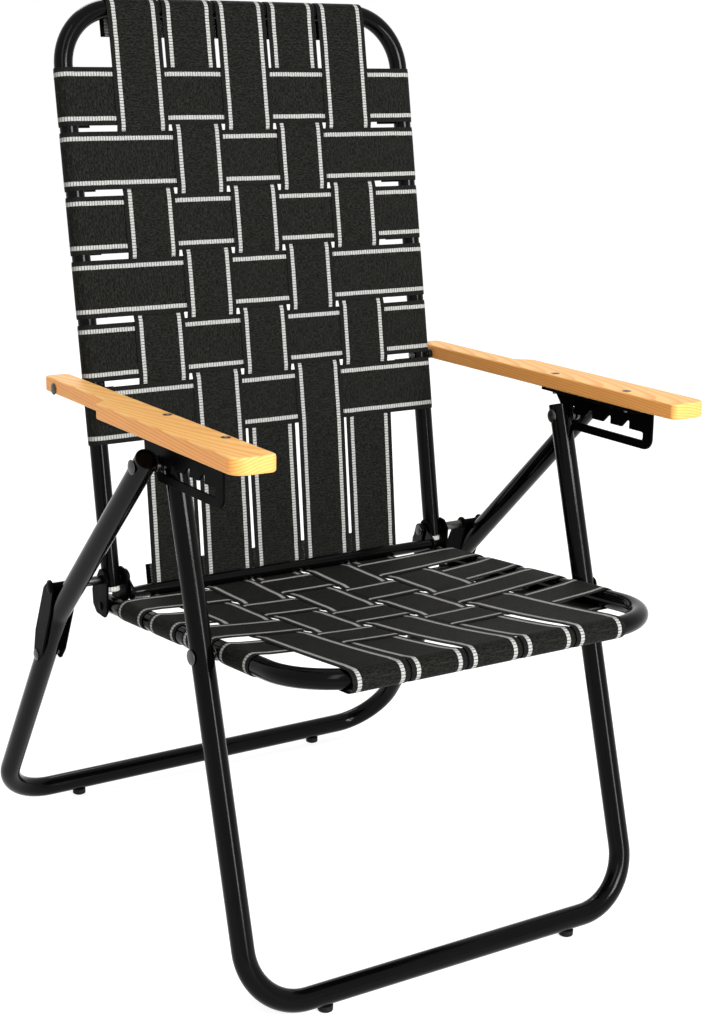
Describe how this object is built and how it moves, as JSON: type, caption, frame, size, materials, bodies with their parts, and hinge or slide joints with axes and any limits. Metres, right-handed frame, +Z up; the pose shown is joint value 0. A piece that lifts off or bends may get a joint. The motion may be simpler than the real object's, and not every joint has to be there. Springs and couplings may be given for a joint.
{
  "type": "folding webbed lawn chair",
  "caption": "Folding lawn chair of black steel tube with woven black-and-white webbing, slim wooden armrests and notched plates under them.",
  "frame": {"origin": "on the floor, under the middle of the chair's bounding box", "axes": "+Z up, the sitter faces -Y, X across the chair"},
  "size_m": [0.5438, 0.6154, 0.9097],
  "materials": {
    "black_steel": "gloss black powder coat",
    "webbing": "woven polypropylene, black with white edge stripes",
    "pine": "clear-lacquered pine",
    "black_plastic": "moulded, matt",
    "pale_nylon": "ribbed nylon plug",
    "zinc_steel": "zinc plated"
  },
  "bodies": {
    "front_legs": {"front_leg_frame": "black_steel", "front_foot_stud_left": "black_plastic", "front_foot_stud_right": "black_plastic", "leg_pin_inner_left": "zinc_steel", "leg_pin_inner_right": "zinc_steel"},
    "seat": {"seat_frame": "black_steel", "seat_web_cross_1": "webbing", "seat_web_cross_2": "webbing", "seat_web_cross_3": "webbing", "seat_web_cross_4": "webbing", "seat_web_long_1": "webbing", "seat_web_long_2": "webbing", "seat_web_long_3": "webbing", "seat_web_long_4": "webbing", "seat_web_long_5": "webbing", "seat_rivet_left": "zinc_steel", "seat_rivet_right": "zinc_steel", "seat_rear_crossbar": "black_steel", "hinge_plate_inner_left": "black_steel", "hinge_plate_outer_left": "black_steel", "hinge_plate_inner_right": "black_steel", "hinge_plate_outer_right": "black_steel", "hinge_bolt_left": "zinc_steel", "hinge_bolt_right": "zinc_steel"},
    "back": {"back_frame": "black_steel", "back_plug_left": "pale_nylon", "back_plug_right": "pale_nylon", "back_web_cross_1": "webbing", "back_web_cross_2": "webbing", "back_web_cross_3": "webbing", "back_web_cross_4": "webbing", "back_web_cross_5": "webbing", "back_web_cross_6": "webbing", "back_web_long_1": "webbing", "back_web_long_2": "webbing", "back_web_long_3": "webbing", "back_web_long_4": "webbing", "back_web_long_5": "webbing", "back_lower_crossbar": "black_steel"},
    "arms": {"arm_bolt_left": "zinc_steel", "arm_spacer_left": "black_plastic", "arm_bolt_right": "zinc_steel", "arm_spacer_right": "black_plastic", "armrest_left": "pine", "ladder_plate_left": "black_steel", "arm_screw_left_1": "zinc_steel", "arm_screw_left_2": "zinc_steel", "armrest_right": "pine", "ladder_plate_right": "black_steel", "arm_screw_right_1": "zinc_steel", "arm_screw_right_2": "zinc_steel"},
    "rear_legs": {"rear_leg_frame": "black_steel", "rear_foot_stud_left": "black_plastic", "leg_pin_outer_left": "zinc_steel", "rear_foot_stud_right": "black_plastic", "leg_pin_outer_right": "zinc_steel", "link_rivet_left": "zinc_steel", "link_rivet_right": "zinc_steel"},
    "links": {"link_left": "black_steel", "link_right": "black_steel"}
  },
  "joints": [
    {"name": "fold", "type": "hinge", "parent": "front_legs", "child": "rear_legs", "pos_m": [0, -0.08095, 0.506], "axis": [-1, 0, 0], "range_deg": [0, 60]},
    {"name": "seat_fold", "type": "hinge", "parent": "front_legs", "child": "seat", "pos_m": [0, -0.13755, 0.33581], "axis": [-1, 0, 0], "range_deg": [0, 95.1]},
    {"name": "back_fold", "type": "hinge", "parent": "seat", "child": "back", "pos_m": [0, 0.11135, 0.3315], "axis": [1, 0, 0], "range_deg": [0, 84]},
    {"name": "arm_fold", "type": "hinge", "parent": "back", "child": "arms", "pos_m": [0, 0.15287, 0.52767], "axis": [-1, 0, 0], "range_deg": [0, 85.1]},
    {"name": "link_fold", "type": "hinge", "parent": "rear_legs", "child": "links", "pos_m": [0, 0.14905, 0.246], "axis": [-1, 0, 0], "range_deg": [0, 126.4]}
  ],
  "couplings": [
    {"joint": "seat_fold", "follows": "fold", "ratio": 1.583},
    {"joint": "back_fold", "follows": "fold", "ratio": 1.398},
    {"joint": "arm_fold", "follows": "fold", "ratio": 1.417},
    {"joint": "link_fold", "follows": "fold", "ratio": 2.105}
  ]
}
